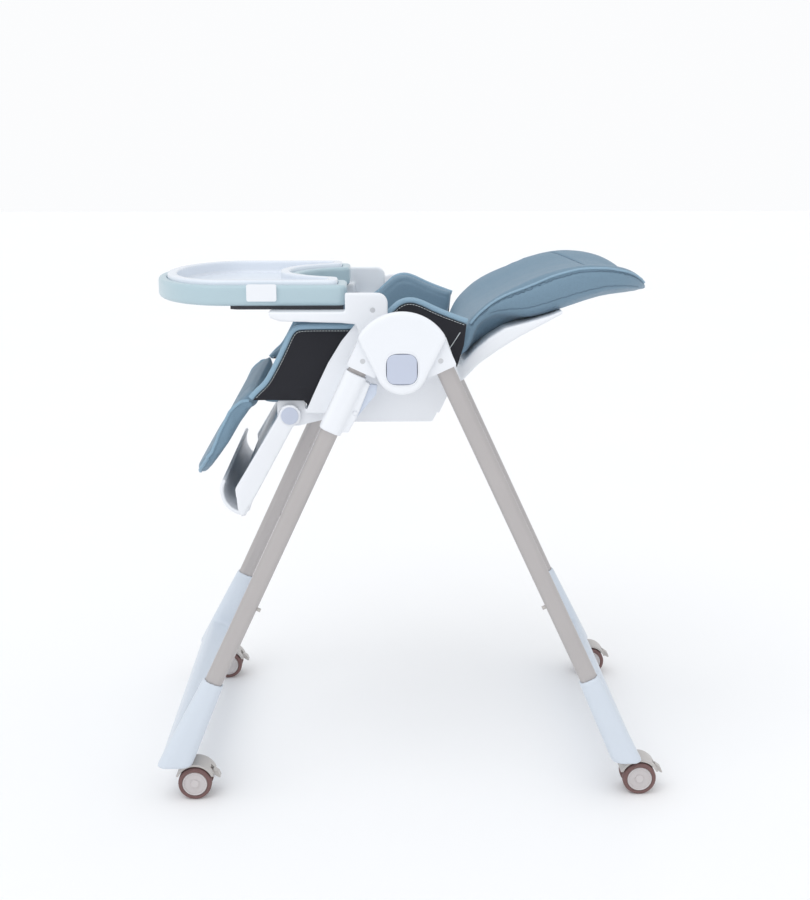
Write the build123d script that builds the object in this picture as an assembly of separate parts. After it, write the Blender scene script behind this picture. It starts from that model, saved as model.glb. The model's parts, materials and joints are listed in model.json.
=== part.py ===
from build123d import *
import math
import os

# A folding high chair on castors.  Millimetres; +Z up, -Y is the front, X runs side to side.
# The drawing's origin is the fold axis: profiles are (y, z) points measured from it.
# When written out, everything moves together so that the origin is the middle of the
# footprint box, on the floor.

# ---------------------------------------------------------------- driving dimensions
HUB_HEIGHT = 708.0          # fold axis above the floor
LEG_ANGLE = 25.0            # each pair of legs from the vertical
LEG_OFFSET = 57.0           # fold axis to the middle of a leg tube, square to the tube
TUBE_SPREAD = 540.0         # between the middles of the left and right tubes
TUBE_DEPTH = 28.0           # oval tube, fore and aft
TUBE_WIDTH = 18.0           # oval tube, side to side
TUBE_WALL = 1.5
WHEEL_DIAMETER = 54.0
SEAT_WIDTH = 420.0          # between the insides of the shell's side plates
SHELL_WALL = 6.0
TRAY_MARGIN = 20.0          # the seat's width less the tray's
TRAY_DEPTH = 315.0
TRAY_THICKNESS = 32.0
BACKREST_MARGIN = 8.0       # each side, inside the seat's padded wings
FOOTREST_MARGIN = 2.0       # the seat's width less the footrest's

# ---------------------------------------------------------------- clearances
SLIDE_GAP = 0.4             # sleeve on its tube, all round
MOVING_GAP = 0.5            # between faces of different bodies
SOFT_GAP = 0.3              # round the soft pieces
PIN_GAP = 0.05              # radial, a pin in its hole

# ---------------------------------------------------------------- hub
SOCKET_WALL = 5.0
SOCKET_FACE = 10.0                      # outside the tube, under the dome
HUB_MIDDLE = TUBE_SPREAD / 2            # the two hub discs meet here
HUB_INNER = HUB_MIDDLE - TUBE_WIDTH / 2 - SOCKET_WALL
HUB_OUTER = HUB_MIDDLE + TUBE_WIDTH / 2 + SOCKET_FACE
DISC_RADIUS = 36.0
PIVOT_RADIUS = 16.0
SOCKET_TOP = -26.0                      # along the leg, from the fold axis
SOCKET_BOTTOM = 31.0
DOME_THICKNESS = 13.0
DOME_HALF = 66.0                        # at the shoulders
DOME_SHOULDER = 46.0
DOME_CROWN = 85.0
LOBE_RADIUS = 39.0                      # round the button
BUTTON_SIZE = 45.0
BUTTON_TRAVEL = 4.0
BUTTON_PROUD = 1.0
SCREW_RADIUS = 4.0
SCREW_SUNK = 3.0
SCREW_DOWN = 15.0

# ---------------------------------------------------------------- feet and castors
FOOT_CLEARANCE = 8.0                    # wheel top to the underside of a foot
FOOT_HEIGHT = WHEEL_DIAMETER + FOOT_CLEARANCE
FOOT_SLEEVE = 158.0                     # length of the plastic sleeve along the leg
FOOT_TOP_DEPTH = TUBE_DEPTH + 6.0
FOOT_TOP_WIDTH = TUBE_WIDTH + 8.0
FOOT_BASE_DEPTH = {-1: TUBE_DEPTH + 26.0, 1: TUBE_DEPTH + 18.0}
FOOT_BASE_WIDTH = TUBE_WIDTH + 22.0
TUBE_IN_FOOT = 60.0                     # how far a tube goes into its foot
CROSSBAR_HEIGHT = 46.0
STEM_SHIFT = {-1: 12.0, 1: 5.0}         # castor stem behind the leg's own line
STEM_INSET = 22.0                       # castor stem inside the tube's middle plane
CASTOR_TRAIL = 18.0
STEM_RADIUS = 7.0
WHEEL_GAP = 7.5                         # castor middle to the inner face of a wheel
WHEEL_WIDTH = 15.0
TYRE_THICKNESS = 6.5
AXLE_RADIUS = 4.0
HOOD_CLEARANCE = 2.0
HOOD_WALL = 3.5
BOSS_RADIUS = 11.0
BRAKE_REACH = 27.0                      # wheel axle to the brake lever
BRAKE_WIDTH = 12.0
PEG_DOWN = 443.0                        # small stop peg on each tube
PEG_RADIUS = 3.0

# ---------------------------------------------------------------- seat carriage
SLEEVE_TOP = 38.0                       # along the leg
SLEEVE_BOTTOM = 135.0
SLEEVE_WALL = 3.0
SLEEVE_INNER = TUBE_SPREAD / 2 - TUBE_WIDTH / 2 - 7.0
SLEEVE_OUTER = TUBE_SPREAD / 2 + TUBE_WIDTH / 2 + 9.0
SLEEVE_DEPTH = TUBE_DEPTH + 2 * SLIDE_GAP + 2 * SLEEVE_WALL
FIN_OUT = LEG_OFFSET - SLEEVE_DEPTH / 2
FIN_HALF = 9.0
TRIGGER_DOWN = 93.0
TRIGGER_OUT = FIN_OUT - 5.6
TRIGGER_HALF = 5.0
TRIGGER_PIN_RADIUS = 3.0
SHELL_OUTER = SEAT_WIDTH / 2 + SHELL_WALL
SEAT_FLOOR = -82.0                      # underside of the shell's floor
SEAT_PAD_TOP = -48.0
WING_THICKNESS = 26.0
PANEL_THICKNESS = 3.0
PANEL_FACE = SEAT_WIDTH / 2 - 0.7
WING_FACE = PANEL_FACE - PANEL_THICKNESS - SOFT_GAP
SEAT_HALF = WING_FACE - WING_THICKNESS
BACKREST_WIDTH = 2 * (SEAT_HALF - BACKREST_MARGIN)
BOLSTER_WIDTH = 50.0
ARM_THICKNESS = 10.0
RAIL_WIDTH = 40.0
RAIL_TOP = 76.0
RECLINE_AXIS = (60.0, -8.0)
RECLINE_PIN_RADIUS = 6.0
HINGE_EAR = 15.0
LEVER_HALF = 34.0
FOOTREST_AXIS = (-173.0, -88.0)
FOOTREST_PIN_RADIUS = 6.0
FOOTREST_WIDTH = SEAT_WIDTH - FOOTREST_MARGIN
FOOTREST_ARM = 12.0
BRACKET_WIDTH = 15.0
CAP_RADIUS = 13.3
TROUGH_CENTRE = (-246.0, -212.0)
TROUGH_RADIUS = 41.0
TROUGH_WALL = 6.0
STRAP_WIDTH = 25.0
STRAP_THICKNESS = 2.0

# ---------------------------------------------------------------- tray
TRAY_WIDTH = SEAT_WIDTH - TRAY_MARGIN
TRAY_BOTTOM = 82.0
TRAY_REAR = -83.0
PRONG_WIDTH = 82.0                      # each side of the belly cut-out
BELLY_RADIUS = TRAY_WIDTH / 2 - PRONG_WIDTH
BELLY_CENTRE = 34.0                     # in front of it, from the tray's rear edge
TRAY_FLOOR = 10.0                       # of the pocket that the insert sits in
INSERT_INSET = 14.0
INSERT_GAP = 0.5
DISH_RIM = 16.0
RUNNER_IN = 8.0                         # tray edge to a runner
RUNNER_WIDTH = 18.0
CLIP_LENGTH = 46.0
CLIP_HEIGHT = 26.0
CLIP_THICKNESS = 4.0
CLIP_MIDDLE = -213.0

HUB_Z = HUB_HEIGHT
LEG_SIN = math.sin(math.radians(LEG_ANGLE))
LEG_COS = math.cos(math.radians(LEG_ANGLE))
FRONT, REAR = -1, 1
SIDES = {"left": 1, "right": -1}

parts = {}


# ---------------------------------------------------------------- helpers
def leg_point(end, out, down):
    """(y, z) at a distance out from the fold axis, square to the leg, and down along it."""
    return (end * (out * LEG_COS + down * LEG_SIN), out * LEG_SIN - down * LEG_COS)


def profile(points, radius=0.0, corners=None):
    """A closed (y, z) outline; radius rounds all its corners, or only those listed."""
    face = make_face(Polyline(*points, close=True))
    if not radius:
        return face
    chosen = face.vertices()
    if corners is not None:
        chosen = [v for v in chosen if any(math.dist((v.X, v.Y), c) < 0.01 for c in corners)]
    return fillet(chosen, radius)


def slab(face, x_low, x_high):
    """A (y, z) face pulled along X, at the hub's height."""
    plane = Plane((x_low, 0, HUB_Z), x_dir=(0, 1, 0), z_dir=(1, 0, 0))
    return extrude(plane * face, amount=x_high - x_low)


def side_slab(face, side, near, far):
    """The same on one side of the chair: near and far are distances from the middle."""
    low, high = sorted((side * near, side * far))
    return slab(face, low, high)


def rod(y, z, radius, x_low, x_high):
    """A round bar along X."""
    return slab(Pos(y, z) * Circle(radius), min(x_low, x_high), max(x_low, x_high))


def leg_plane(end, x, down):
    """Across a leg: local x points away from the fold axis, normal down along the leg."""
    y, z = leg_point(end, LEG_OFFSET, down)
    return Plane(
        (x, y, HUB_Z + z),
        x_dir=(0, end * LEG_COS, LEG_SIN),
        z_dir=(0, end * LEG_SIN, -LEG_COS),
    )


def leg_bar(section, end, x, start, stop):
    """A section pulled along a leg from start to stop."""
    return extrude(leg_plane(end, x, start) * section, amount=stop - start)


def leg_down_at(height):
    """How far down a leg its middle reaches this height above the floor."""
    return (HUB_Z + LEG_OFFSET * LEG_SIN - height) / LEG_COS


# ---------------------------------------------------------------- leg tubes
TUBE_TOP = SOCKET_TOP + 2
SLEEVE_START = leg_down_at(FOOT_HEIGHT) - FOOT_SLEEVE
TUBE_END = SLEEVE_START + TUBE_IN_FOOT


def tube_section(gap=0.0):
    return SlotOverall(TUBE_DEPTH + 2 * gap, TUBE_WIDTH + 2 * gap)


def leg_tube(end, side):
    ring = tube_section() - tube_section(-TUBE_WALL)
    return leg_bar(ring, end, side * TUBE_SPREAD / 2, TUBE_TOP, TUBE_END)


# ---------------------------------------------------------------- foot bars
def foot_sleeve(end, side):
    """Flares from the tube down to the foot."""
    x = side * TUBE_SPREAD / 2
    top = RectangleRounded(FOOT_TOP_DEPTH, FOOT_TOP_WIDTH, FOOT_TOP_WIDTH / 2 - 1)
    base = RectangleRounded(FOOT_BASE_DEPTH[end], FOOT_BASE_WIDTH, FOOT_BASE_WIDTH / 2 - 4)
    reach = FOOT_SLEEVE + FOOT_BASE_DEPTH[end] * LEG_SIN
    sections = Sketch() + leg_plane(end, x, SLEEVE_START) * top
    sections += leg_plane(end, x, SLEEVE_START + reach) * base
    body = loft(sections)
    return body - leg_bar(tube_section(), end, x, SLEEVE_START, TUBE_END)


def crossbar(end):
    """Joins the two feet low down, leaning like the legs."""
    base = leg_down_at(FOOT_HEIGHT)
    half = FOOT_BASE_DEPTH[end] / 2 - 3
    outline = [
        leg_point(end, LEG_OFFSET + half, base - CROSSBAR_HEIGHT),
        leg_point(end, LEG_OFFSET - half, base - CROSSBAR_HEIGHT),
        leg_point(end, LEG_OFFSET - half, base + half),
        leg_point(end, LEG_OFFSET + half, base + half),
    ]
    reach = TUBE_SPREAD / 2
    return slab(profile(outline, 9.0), -reach, reach)


def stem_y(end):
    base_y = leg_point(end, LEG_OFFSET, leg_down_at(FOOT_HEIGHT))[0]
    return base_y + STEM_SHIFT[end]


def foot_bar(end):
    bar = crossbar(end)
    for side in SIDES.values():
        bar += foot_sleeve(end, side)
    bar -= Pos(0, 0, FOOT_HEIGHT / 2 - 50) * Box(900, 2000, FOOT_HEIGHT + 100)
    for side in SIDES.values():
        x = side * (TUBE_SPREAD / 2 - STEM_INSET)
        bar -= Pos(x, stem_y(end), FOOT_HEIGHT) * Cylinder(STEM_RADIUS + PIN_GAP, 44)
    return bar


# ---------------------------------------------------------------- hub
def socket_outline(end):
    inner = DISC_RADIUS - 6
    outer = LEG_OFFSET + TUBE_DEPTH / 2 + SOCKET_WALL
    corners = [
        leg_point(end, outer, SOCKET_TOP),
        leg_point(end, inner, SOCKET_TOP),
        leg_point(end, inner, SOCKET_BOTTOM),
        leg_point(end, outer, SOCKET_BOTTOM),
    ]
    return profile(corners, SOCKET_WALL - 1.5, [corners[0], corners[3]])


def hub_socket(end, side):
    """Holds a tube and carries one of the two discs that turn on each other."""
    outer = HUB_OUTER if end == FRONT else HUB_OUTER - MOVING_GAP
    block = side_slab(socket_outline(end), side, HUB_INNER, outer)
    block -= leg_bar(tube_section(), end, side * TUBE_SPREAD / 2, SOCKET_TOP - 5, SOCKET_BOTTOM + 5)
    inner_disc = rod(0, 0, DISC_RADIUS, side * HUB_INNER, side * HUB_MIDDLE)
    outer_disc = rod(0, 0, DISC_RADIUS, side * (HUB_MIDDLE + MOVING_GAP), side * HUB_OUTER)
    room = DISC_RADIUS + MOVING_GAP
    axle_end = side * (HUB_MIDDLE + MOVING_GAP + 1)
    if end == FRONT:
        block -= rod(0, 0, room, side * (HUB_INNER - 1), side * (HUB_MIDDLE + MOVING_GAP))
        block += outer_disc
        block += rod(0, 0, PIVOT_RADIUS, side * (HUB_INNER + 1), axle_end)
    else:
        block -= rod(0, 0, room, side * HUB_MIDDLE, side * (HUB_OUTER + 1))
        block += inner_disc
        block -= rod(0, 0, PIVOT_RADIUS + PIN_GAP, side * (HUB_INNER - 1), axle_end)
    screw_y, screw_z = leg_point(end, LEG_OFFSET, SCREW_DOWN)
    screw_near, screw_far = side * (outer - SCREW_SUNK), side * (outer + 1)
    return block - rod(screw_y, screw_z, SCREW_RADIUS, screw_near, screw_far)


def dome_outline():
    """A broad arc over the top, narrowing to a round lobe below the button."""
    lobe_angle = math.radians(200)
    lobe_y = LOBE_RADIUS * math.cos(lobe_angle)
    lobe_z = LOBE_RADIUS * math.sin(lobe_angle)
    left, right = (-DOME_HALF, DOME_SHOULDER), (DOME_HALF, DOME_SHOULDER)
    lines = Curve() + ThreePointArc(left, (0, DOME_CROWN), right)
    lines += Line(right, (-lobe_y, lobe_z))
    lines += ThreePointArc((-lobe_y, lobe_z), (0, -LOBE_RADIUS), (lobe_y, lobe_z))
    lines += Line((lobe_y, lobe_z), left)
    face = make_face(lines)
    shoulders = [v for v in face.vertices() if v.Y > DOME_SHOULDER - 1]
    return fillet(shoulders, 9.0)


def hub_dome(side):
    outer = HUB_OUTER + DOME_THICKNESS
    body = side_slab(dome_outline(), side, HUB_OUTER, outer)
    rim = body.faces().sort_by(Axis.X)[-1 if side > 0 else 0].edges()
    body = fillet(rim, 5.0)
    window = RectangleRounded(BUTTON_SIZE + 2 * MOVING_GAP, BUTTON_SIZE + 2 * MOVING_GAP, 13)
    return body - side_slab(window, side, HUB_OUTER - 1, outer + 1)


def fold_button(side):
    outer = HUB_OUTER + DOME_THICKNESS + BUTTON_PROUD
    inner = HUB_OUTER + BUTTON_TRAVEL + MOVING_GAP
    body = side_slab(RectangleRounded(BUTTON_SIZE, BUTTON_SIZE, 12.5), side, inner, outer)
    rim = body.faces().sort_by(Axis.X)[-1 if side > 0 else 0].edges()
    return fillet(rim, 2.0)


def screws(end):
    """One cross-head screw in each socket."""
    group = Part()
    outer = HUB_OUTER if end == FRONT else HUB_OUTER - MOVING_GAP
    for side in SIDES.values():
        y, z = leg_point(end, LEG_OFFSET, SCREW_DOWN)
        head = rod(y, z, SCREW_RADIUS, side * (outer - SCREW_SUNK), side * (outer - 0.6))
        slot = side_slab(Pos(y, z) * Rectangle(5, 1.2), side, outer - 1.6, outer)
        slot += side_slab(Pos(y, z) * Rectangle(1.2, 5), side, outer - 1.6, outer)
        group += head - slot
    return group


def stop_pegs(end):
    """Small pegs on the inner side of the tubes, where a lowered seat would stop."""
    group = Part()
    for side in SIDES.values():
        x = side * TUBE_SPREAD / 2
        y, z = leg_point(end, LEG_OFFSET - TUBE_DEPTH / 2 + 0.2, PEG_DOWN)
        plane = Plane(
            (x, y, HUB_Z + z), x_dir=(1, 0, 0), z_dir=(0, -end * LEG_COS, -LEG_SIN)
        )
        peg = extrude(plane * Circle(PEG_RADIUS), amount=6.0)
        group += peg - leg_bar(tube_section(), end, x, PEG_DOWN - 20, PEG_DOWN + 20)
    return group


# ---------------------------------------------------------------- castors
AXLE_Z = WHEEL_DIAMETER / 2
WHEEL_RADIUS = WHEEL_DIAMETER / 2


def castor_x(side):
    return side * (TUBE_SPREAD / 2 - STEM_INSET)


def castor_rod(end, side, radius, low, high):
    """A round bar on the wheel axis; low and high are measured from the castor's middle."""
    y = stem_y(end) + CASTOR_TRAIL
    return rod(y, AXLE_Z - HUB_Z, radius, castor_x(side) + low, castor_x(side) + high)


def castor_body(end, side):
    """Middle web, hood over the wheels and swivel stem."""
    stem, trail = stem_y(end), CASTOR_TRAIL
    hood_in = WHEEL_RADIUS + HOOD_CLEARANCE
    hood_out = hood_in + HOOD_WALL
    reach = WHEEL_GAP + WHEEL_WIDTH - 3
    hood = castor_rod(end, side, hood_out, -reach, reach)
    hood -= castor_rod(end, side, hood_in, -reach - 1, reach + 1)
    keep_low = AXLE_Z - 2
    keep = Pos(castor_x(side), stem + trail, keep_low + 50) * Box(100, 120, 100)
    web = castor_rod(end, side, hood_in + 1, -WHEEL_GAP + 1.5, WHEEL_GAP - 1.5)
    web &= Pos(castor_x(side), stem + trail, AXLE_Z + 32) * Box(100, 120, 84)
    body = (hood & keep) + web
    boss_low = AXLE_Z + hood_out - 6
    boss = Pos(castor_x(side), stem, (boss_low + FOOT_HEIGHT - MOVING_GAP) / 2)
    boss_height = FOOT_HEIGHT - MOVING_GAP - boss_low
    body += boss * Cylinder(BOSS_RADIUS, boss_height)
    below_foot = Pos(castor_x(side), stem, 50) * Box(160, 200, 2 * (FOOT_HEIGHT - MOVING_GAP) - 100)
    stem_pin = Pos(castor_x(side), stem, FOOT_HEIGHT + 8) * Cylinder(STEM_RADIUS, 24)
    body = (body & below_foot) + stem_pin
    body -= castor_rod(end, side, AXLE_RADIUS + PIN_GAP, -WHEEL_GAP, WHEEL_GAP)
    return body - castor_brake_room(end, side)


def castor_brake_room(end, side):
    y = stem_y(end) + CASTOR_TRAIL + BRAKE_REACH
    return Pos(castor_x(side), y + 8, AXLE_Z + 14) * Box(BRAKE_WIDTH + 1, 22, 22)


def castor_brake(end, side):
    """A short foot lever at the back of the castor."""
    y = stem_y(end) + CASTOR_TRAIL + BRAKE_REACH
    z = AXLE_Z - HUB_Z
    outline = [(y - 2, z + 12), (y + 2, z + 18), (y + 10, z + 12), (y + 14, z + 2), (y + 8, z + 5)]
    near = castor_x(side) - BRAKE_WIDTH / 2
    return slab(profile(outline, 1.2), near, near + BRAKE_WIDTH)


def castor_wheels(end, side):
    """Two wheel discs on their axle."""
    body = castor_rod(end, side, AXLE_RADIUS, -WHEEL_GAP - 1, WHEEL_GAP + 1)
    for face in (-1, 1):
        near, far = face * WHEEL_GAP, face * (WHEEL_GAP + WHEEL_WIDTH)
        body += castor_rod(end, side, WHEEL_RADIUS - TYRE_THICKNESS, *sorted((near, far)))
    return body


def castor_tyres(end, side):
    group = Part()
    for face in (-1, 1):
        near, far = face * (WHEEL_GAP + 0.5), face * (WHEEL_GAP + WHEEL_WIDTH - 0.5)
        ring = castor_rod(end, side, WHEEL_RADIUS, *sorted((near, far)))
        group += ring - castor_rod(end, side, WHEEL_RADIUS - TYRE_THICKNESS, *sorted((near, far)))
    return group


# ---------------------------------------------------------------- seat carriage
def slider(side):
    """The sleeve that rides on a front tube, with the fin that holds its release lever."""
    x = side * (SLEEVE_INNER + SLEEVE_OUTER) / 2
    section = RectangleRounded(SLEEVE_DEPTH, SLEEVE_OUTER - SLEEVE_INNER, 12)
    body = leg_bar(section, FRONT, x, SLEEVE_TOP, SLEEVE_BOTTOM)
    outline = [
        leg_point(FRONT, FIN_OUT + 8, SLEEVE_TOP + 6),
        leg_point(FRONT, FIN_OUT - 8, SLEEVE_TOP + 4),
        leg_point(FRONT, FIN_OUT - 11, TRIGGER_DOWN),
        leg_point(FRONT, FIN_OUT - 9, SLEEVE_BOTTOM - 10),
        leg_point(FRONT, FIN_OUT + 8, SLEEVE_BOTTOM - 4),
    ]
    middle = TUBE_SPREAD / 2
    body += side_slab(profile(outline, 3.0), side, middle - FIN_HALF, middle + FIN_HALF)
    tube = leg_bar(tube_section(SLIDE_GAP), FRONT, side * middle, SLEEVE_TOP - 5, SLEEVE_BOTTOM + 5)
    room = [
        leg_point(FRONT, FIN_OUT - MOVING_GAP, SLEEVE_TOP - 5),
        leg_point(FRONT, FIN_OUT - 40, SLEEVE_TOP - 5),
        leg_point(FRONT, FIN_OUT - 40, TRIGGER_DOWN + 12),
        leg_point(FRONT, FIN_OUT - MOVING_GAP, TRIGGER_DOWN + 12),
    ]
    slot = TRIGGER_HALF + MOVING_GAP
    body -= side_slab(profile(room), side, middle - slot, middle + slot)
    pin_y, pin_z = leg_point(FRONT, TRIGGER_OUT, TRIGGER_DOWN)
    pin_hole = rod(pin_y, pin_z, TRIGGER_PIN_RADIUS, side * (middle - 20), side * (middle + 20))
    return body - tube - pin_hole


def release_trigger(side):
    """The lever squeezed to free the slider."""
    middle = TUBE_SPREAD / 2
    outline = [
        leg_point(FRONT, TRIGGER_OUT - 5, TRIGGER_DOWN + 6),
        leg_point(FRONT, TRIGGER_OUT + 3.5, TRIGGER_DOWN + 6),
        leg_point(FRONT, TRIGGER_OUT - 3, SLEEVE_TOP + 6),
        leg_point(FRONT, TRIGGER_OUT - 13, SLEEVE_TOP + 3),
        leg_point(FRONT, TRIGGER_OUT - 17, SLEEVE_TOP + 16),
    ]
    body = side_slab(profile(outline, 1.5), side, middle - TRIGGER_HALF, middle + TRIGGER_HALF)
    y, z = leg_point(FRONT, TRIGGER_OUT, TRIGGER_DOWN)
    hole = rod(y, z, TRIGGER_PIN_RADIUS + PIN_GAP, side * (middle - 20), side * (middle + 20))
    return body - hole


def trigger_pins():
    group = Part()
    for side in SIDES.values():
        y, z = leg_point(FRONT, TRIGGER_OUT, TRIGGER_DOWN)
        middle = TUBE_SPREAD / 2
        far = middle + FIN_HALF + 0.8
        group += rod(y, z, TRIGGER_PIN_RADIUS, side * (middle - FIN_HALF), side * far)
    return group


SHELL_SIDE = [
    (-69, 57), (-91, 30), (-112, -4), (-125, -31), (-137, -57), (-148, -82),
    (60, -82), (71, -58), (94, -34), (82, 2), (70, 35), (20, 52),
]


def seat_shell():
    """Floor, two side plates, and the blocks that join them to the sliders."""
    body = slab(profile([(-148, SEAT_FLOOR), (60, SEAT_FLOOR), (62, SEAT_FLOOR + SHELL_WALL),
                         (-148, SEAT_FLOOR + SHELL_WALL)]), -SHELL_OUTER, SHELL_OUTER)
    for side in SIDES.values():
        body += side_slab(profile(SHELL_SIDE, 5.0, [(94, -34), (71, -58), (-69, 57)]),
                          side, SEAT_WIDTH / 2, SHELL_OUTER)
        block = [
            leg_point(FRONT, LEG_OFFSET - 13, SLEEVE_TOP + 4),
            leg_point(FRONT, LEG_OFFSET + 13, SLEEVE_TOP + 4),
            leg_point(FRONT, LEG_OFFSET + 13, SLEEVE_BOTTOM - 8),
            leg_point(FRONT, LEG_OFFSET - 13, SLEEVE_BOTTOM - 8),
        ]
        body += side_slab(profile(block, 5.0), side, SHELL_OUTER - 1, SLEEVE_INNER)
        hole = rod(*RECLINE_AXIS, RECLINE_PIN_RADIUS + PIN_GAP, side * (SEAT_WIDTH / 2 - 2),
                   side * (SHELL_OUTER + 2))
        body -= hole
    return body


def base_cover():
    """The tray-shaped cover under the seat."""
    outline = [(-95, SEAT_FLOOR), (-88, SEAT_FLOOR - 15), (49, SEAT_FLOOR - 15), (57, SEAT_FLOOR)]
    return slab(profile(outline, 4.0, [(-88, SEAT_FLOOR - 15), (49, SEAT_FLOOR - 15)]),
                -SHELL_OUTER + 4, SHELL_OUTER - 4)


WING_TOP = [
    (107, 64), (92, 67), (61, 79), (30, 93), (12, 96), (-4, 90), (-19, 78),
    (-40, 58), (-62, 56), (-160, 56),
]
WING_FRONT = [(-171, 46), (-182, 22), (-195, -4), (-211, -33), (-227, -48), (-240, -62)]
WING_FOOT = [(-150, -62), (-140, -74), (62, -74), (78, -40), (98, 20)]


def wing_profile():
    """The side's outline, with a hole round the recline hinge."""
    return profile(WING_TOP + WING_FRONT + WING_FOOT) - Pos(*RECLINE_AXIS) * Circle(HINGE_EAR + 2)


def side_wing(side):
    """The padded side of the seat."""
    return side_slab(wing_profile(), side, SEAT_HALF, WING_FACE)


def side_panel(side):
    """The cloth skin on the outside of a wing."""
    return side_slab(wing_profile(), side, WING_FACE + SOFT_GAP, PANEL_FACE)


def seat_pad():
    floor = SEAT_FLOOR + SHELL_WALL
    outline = [(-226, floor + 2), (-150, floor + 0.2), (40, floor + 0.2),
               (40, SEAT_PAD_TOP), (-226, SEAT_PAD_TOP)]
    half = SEAT_HALF - SOFT_GAP
    return slab(profile(outline, 9.0, [(40, SEAT_PAD_TOP), (-226, SEAT_PAD_TOP)]), -half, half)


CALF_TIP = (-329.0, -198.0)
CALF_CORNER = 80.0
CALF_NECK = -64.5           # above this the flap is as narrow as the seat cushion
CALF_SIDE = [
    (-226.5, -50), (-238, -57), (-265, -82), (-284, -116), (-300, -147), (-328, -187),
    CALF_TIP, (-320, -197), (-296, -164), (-274, -133), (-253, -98), (-237, -77), (-226.5, -74),
]


def calf_pad():
    """The flap that hangs in front of the seat, as wide as the wings, with a rounded tip."""
    half = SEAT_HALF - SOFT_GAP
    flap = profile(CALF_SIDE)
    below_neck = flap & profile([(-400, CALF_NECK), (-200, CALF_NECK), (-200, -300), (-400, -300)])
    body = slab(flap, -half, half) + slab(below_neck, -WING_FACE, WING_FACE)
    lowest = CALF_TIP[1]
    tongue = Pos(0, HUB_Z + lowest + 200) * RectangleRounded(2 * WING_FACE, 400, CALF_CORNER)
    plane = Plane((0, -100, 0), x_dir=(1, 0, 0), z_dir=(0, -1, 0))
    return body & extrude(plane * tongue, amount=300)


def tray_arm(side):
    """The arm that carries the tray: an upright plate and a rail running forward."""
    plate = [
        (-202, RAIL_TOP), (-199, RAIL_TOP - 9), (-184, RAIL_TOP - 14), (-90, RAIL_TOP - 17),
        (-69, RAIL_TOP - 19), (-60, 30), (-20, 30), (-20, 105), (-85, 105), (-85, RAIL_TOP),
    ]
    body = side_slab(profile(plate, 16.0, [(-20, 105)]), side,
                     SHELL_OUTER + SOFT_GAP, SHELL_OUTER + SOFT_GAP + ARM_THICKNESS)
    rail = [
        (-202, RAIL_TOP), (-199, RAIL_TOP - 9), (-184, RAIL_TOP - 14), (-90, RAIL_TOP - 17),
        (-76, RAIL_TOP - 17), (-76, RAIL_TOP),
    ]
    outer = SHELL_OUTER + SOFT_GAP + ARM_THICKNESS
    body += side_slab(profile(rail), side, outer - RAIL_WIDTH, outer)
    screw_face = side * (outer - 2)
    return body - rod(-43, 79, SCREW_RADIUS, screw_face, side * (outer + 1))


def arm_screws():
    group = Part()
    for side in SIDES.values():
        outer = SHELL_OUTER + SOFT_GAP + ARM_THICKNESS
        group += rod(-43, 79, SCREW_RADIUS, side * (outer - 2), side * (outer - 0.3))
    return group


def footrest_bracket(side):
    outline = [
        (-193, -66), (-149, -66), (-149, SEAT_FLOOR - 0.5), (-110, SEAT_FLOOR - 0.5),
        (-110, SEAT_FLOOR - 12), (-160, -106), (-184, -106), (-193, -92),
    ]
    outer = FOOTREST_WIDTH / 2 - FOOTREST_ARM - MOVING_GAP
    inner = outer - BRACKET_WIDTH
    body = side_slab(profile(outline, 4.0, [(-193, -66), (-160, -106)]), side, inner, outer)
    pin_end = side * (outer + MOVING_GAP + 9)
    body += rod(*FOOTREST_AXIS, FOOTREST_PIN_RADIUS, side * inner, pin_end)
    link = [(-149, SEAT_FLOOR - 0.5), (-110, SEAT_FLOOR - 0.5),
            (-110, SEAT_FLOOR), (-149, SEAT_FLOOR)]
    return body + side_slab(profile(link), side, inner, outer)


# ---------------------------------------------------------------- footrest

def footrest():
    """Two arms, the panel between them and the rounded foot trough."""
    outer = FOOTREST_WIDTH / 2
    inner = outer - FOOTREST_ARM
    y, z = FOOTREST_AXIS
    arm = profile([(y - 17, z + 2), (-262, -206), (-258, -240), (-252, -253), (-247, -246),
                   (-228, -215), (y + 5, z - 17), (y + 17, z)])
    arm += Pos(y, z) * Circle(17.5)
    body = Part()
    for side in SIDES.values():
        body += side_slab(arm, side, inner, outer)
    panel = profile([(-204, -108), (-257, -208), (-252, -210), (-198, -110)])
    trough = Pos(*TROUGH_CENTRE) * (Circle(TROUGH_RADIUS) - Circle(TROUGH_RADIUS - TROUGH_WALL))
    half = profile([(-300, -182), (-240, -214), (-248, -262), (-300, -262)])
    body += slab(panel + (trough & half), -inner, inner)
    back = profile([(-257, -206), (-252, -208), (-240, -244), (-254, -252)])
    body += slab(back, -inner, inner)
    for side in SIDES.values():
        pin_room = FOOTREST_PIN_RADIUS + PIN_GAP
        body -= rod(y, z, pin_room, side * (inner - 1), side * (outer - 2.4))
        body -= rod(y, z, CAP_RADIUS + 0.2, side * (outer - 2), side * (outer + 1))
    return body


def footrest_caps():
    group = Part()
    for side in SIDES.values():
        outer = FOOTREST_WIDTH / 2
        group += rod(*FOOTREST_AXIS, CAP_RADIUS, side * (outer - 2), side * (outer + 1.5))
    return group


# ---------------------------------------------------------------- backrest
BACK_TOP = [
    (84, 6), (100, 30), (125, 50), (172, 73), (219, 95), (257, 110), (296, 118),
    (340, 116), (375, 108), (405, 92),
]
BACK_UNDER = [
    (401, 84), (366, 94), (313, 89), (251, 71), (204, 56), (165, 46), (140, 30),
    (118, 14), (96, -12),
]
BOLSTER_TOP = [
    (107, 52), (134, 76), (160, 93), (189, 107), (216, 119), (243, 129), (275, 136),
    (310, 136), (345, 132), (366, 125),
]
BOLSTER_UNDER = [(366, 98), (313, 93), (250, 75), (204, 62), (172, 58), (125, 38)]


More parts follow.
